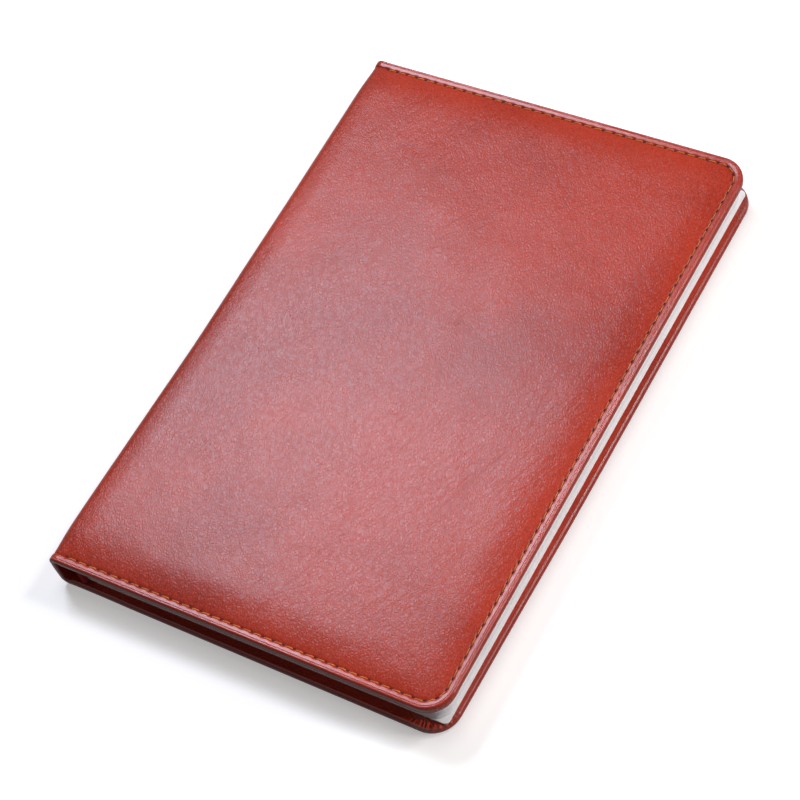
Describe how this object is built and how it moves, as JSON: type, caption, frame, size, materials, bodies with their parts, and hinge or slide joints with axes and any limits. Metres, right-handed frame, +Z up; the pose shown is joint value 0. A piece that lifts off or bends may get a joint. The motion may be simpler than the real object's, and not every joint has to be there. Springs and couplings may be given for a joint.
{
  "type": "leather notebook",
  "caption": "Padded leather notebook with a case binding: stitched covers on boards, a hollow spine, and a sewn page block that opens and turns leaf by leaf.",
  "frame": {"origin": "under the middle of the closed notebook, on the surface that its back cover lies on", "axes": "+X from the spine to the fore-edge, +Y from tail to head, +Z up through the front cover"},
  "size_m": [0.145, 0.215, 0.017],
  "materials": {
    "cover_leather": "glossy pull-up grain, red-brown",
    "seam_thread": "waxed twisted thread",
    "board": "grey board",
    "foam": "thin padding foam",
    "endpaper": "smooth heavy paper",
    "paper": "uncoated writing paper",
    "mull": "open gauze",
    "kraft": "brown lining paper",
    "band": "woven cotton"
  },
  "bodies": {
    "back_cover": {"back_cover_leather": "cover_leather", "back_foam_pad": "foam", "back_board": "board", "back_pastedown": "endpaper", "back_seam_thread": "seam_thread", "rear_flyleaf": "endpaper", "rear_spine_mull": "mull", "rear_spine_liner": "kraft", "rear_headband": "band", "rear_tailband": "band"},
    "spine": {"spine_leather": "cover_leather", "spine_card": "board"},
    "front_cover": {"front_joint_leather": "cover_leather", "front_cover_leather": "cover_leather", "front_foam_pad": "foam", "front_board": "board", "front_pastedown": "endpaper", "front_seam_thread": "seam_thread"},
    "front_flyleaf": {"front_flyleaf": "endpaper"},
    "section_1": {"section_1": "paper", "front_spine_mull": "mull", "front_spine_liner": "kraft", "front_headband": "band", "front_tailband": "band"},
    "section_2": {"section_2": "paper"},
    "section_3": {"section_3": "paper"},
    "section_4": {"section_4": "paper"},
    "section_5": {"section_5": "paper"},
    "section_6": {"section_6": "paper"},
    "section_7": {"section_7": "paper"},
    "section_8": {"section_8": "paper"}
  },
  "joints": [
    {"name": "spine_roll", "type": "hinge", "parent": "back_cover", "child": "spine", "pos_m": [-0.0725, 0, 0], "axis": [0, -1, 0], "range_deg": [0, 90]},
    {"name": "front_cover_fold", "type": "hinge", "parent": "spine", "child": "front_cover", "pos_m": [-0.0725, 0, 0.017], "axis": [0, -1, 0], "range_deg": [0, 90]},
    {"name": "front_flyleaf_turn", "type": "hinge", "parent": "back_cover", "child": "front_flyleaf", "pos_m": [-0.0705, 0, 0.0085], "axis": [0, -1, 0], "range_deg": [0, 178.2]},
    {"name": "section_1_turn", "type": "hinge", "parent": "back_cover", "child": "section_1", "pos_m": [-0.0705, 0, 0.0085], "axis": [0, -1, 0], "range_deg": [0, 176.4]},
    {"name": "section_2_turn", "type": "hinge", "parent": "back_cover", "child": "section_2", "pos_m": [-0.0705, 0, 0.0085], "axis": [0, -1, 0], "range_deg": [0, 173.7]},
    {"name": "section_3_turn", "type": "hinge", "parent": "back_cover", "child": "section_3", "pos_m": [-0.0705, 0, 0.0085], "axis": [0, -1, 0], "range_deg": [0, 171]},
    {"name": "section_4_turn", "type": "hinge", "parent": "back_cover", "child": "section_4", "pos_m": [-0.0705, 0, 0.0085], "axis": [0, -1, 0], "range_deg": [0, 167.4]},
    {"name": "section_5_turn", "type": "hinge", "parent": "back_cover", "child": "section_5", "pos_m": [-0.0705, 0, 0.0085], "axis": [0, -1, 0], "range_deg": [0, 12.6]},
    {"name": "section_6_turn", "type": "hinge", "parent": "back_cover", "child": "section_6", "pos_m": [-0.0705, 0, 0.0085], "axis": [0, -1, 0], "range_deg": [0, 8.1]},
    {"name": "section_7_turn", "type": "hinge", "parent": "back_cover", "child": "section_7", "pos_m": [-0.0705, 0, 0.0085], "axis": [0, -1, 0], "range_deg": [0, 4.5]},
    {"name": "section_8_turn", "type": "hinge", "parent": "back_cover", "child": "section_8", "pos_m": [-0.0705, 0, 0.0085], "axis": [0, -1, 0], "range_deg": [0, 1.8]}
  ],
  "couplings": [
    {"joint": "front_cover_fold", "follows": "spine_roll", "ratio": 1},
    {"joint": "front_flyleaf_turn", "follows": "spine_roll", "ratio": 1.98},
    {"joint": "section_1_turn", "follows": "spine_roll", "ratio": 1.96},
    {"joint": "section_2_turn", "follows": "spine_roll", "ratio": 1.93},
    {"joint": "section_3_turn", "follows": "spine_roll", "ratio": 1.9},
    {"joint": "section_4_turn", "follows": "spine_roll", "ratio": 1.86},
    {"joint": "section_5_turn", "follows": "spine_roll", "ratio": 0.14},
    {"joint": "section_6_turn", "follows": "spine_roll", "ratio": 0.09},
    {"joint": "section_7_turn", "follows": "spine_roll", "ratio": 0.05},
    {"joint": "section_8_turn", "follows": "spine_roll", "ratio": 0.02}
  ]
}
